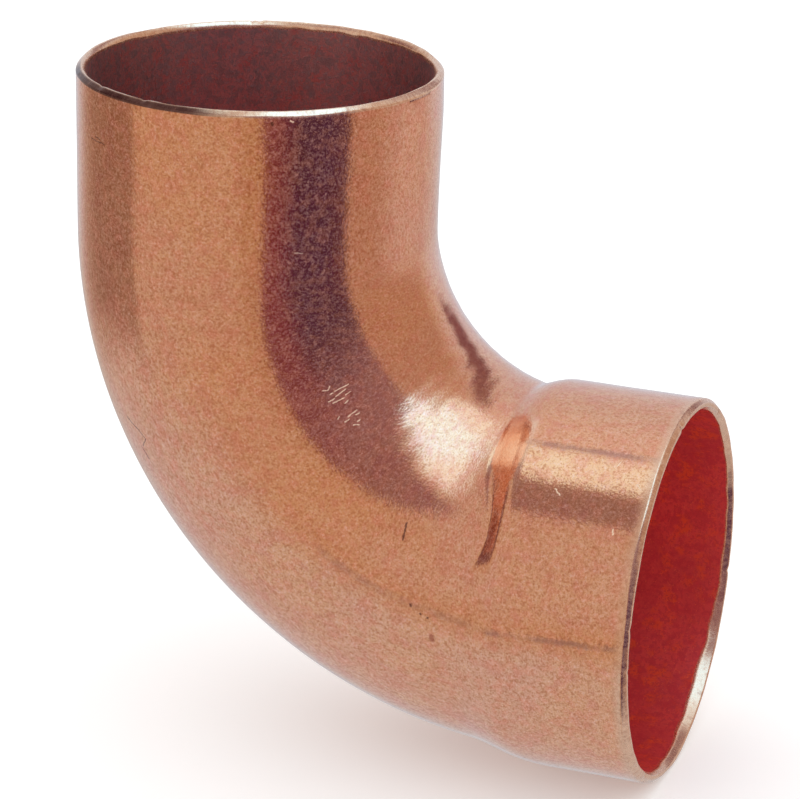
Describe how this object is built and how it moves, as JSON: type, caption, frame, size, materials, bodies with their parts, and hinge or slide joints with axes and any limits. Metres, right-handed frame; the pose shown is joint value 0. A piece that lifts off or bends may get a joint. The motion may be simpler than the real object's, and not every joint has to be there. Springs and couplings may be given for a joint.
{
  "type": "pipe elbow",
  "caption": "Right-angle copper drainage street elbow: a plain spigot end, a swept bend and a solder cup with a tube stop.",
  "frame": {"origin": "centre of the cup's tube stop, on the cup's axis, where the end of the mating tube comes to rest", "axes": "+X out of the cup's mouth along its axis; +Z parallel to the spigot's axis, out of the spigot's end; +Y square to both, so the XZ plane is the mirror plane. The spigot's axis crosses the cup's axis at x = -0.0366 m"},
  "size_m": [0.0728, 0.044, 0.0777],
  "materials": {
    "copper": null
  },
  "bodies": {
    "root": {"elbow_body": "copper"}
  },
  "joints": []
}
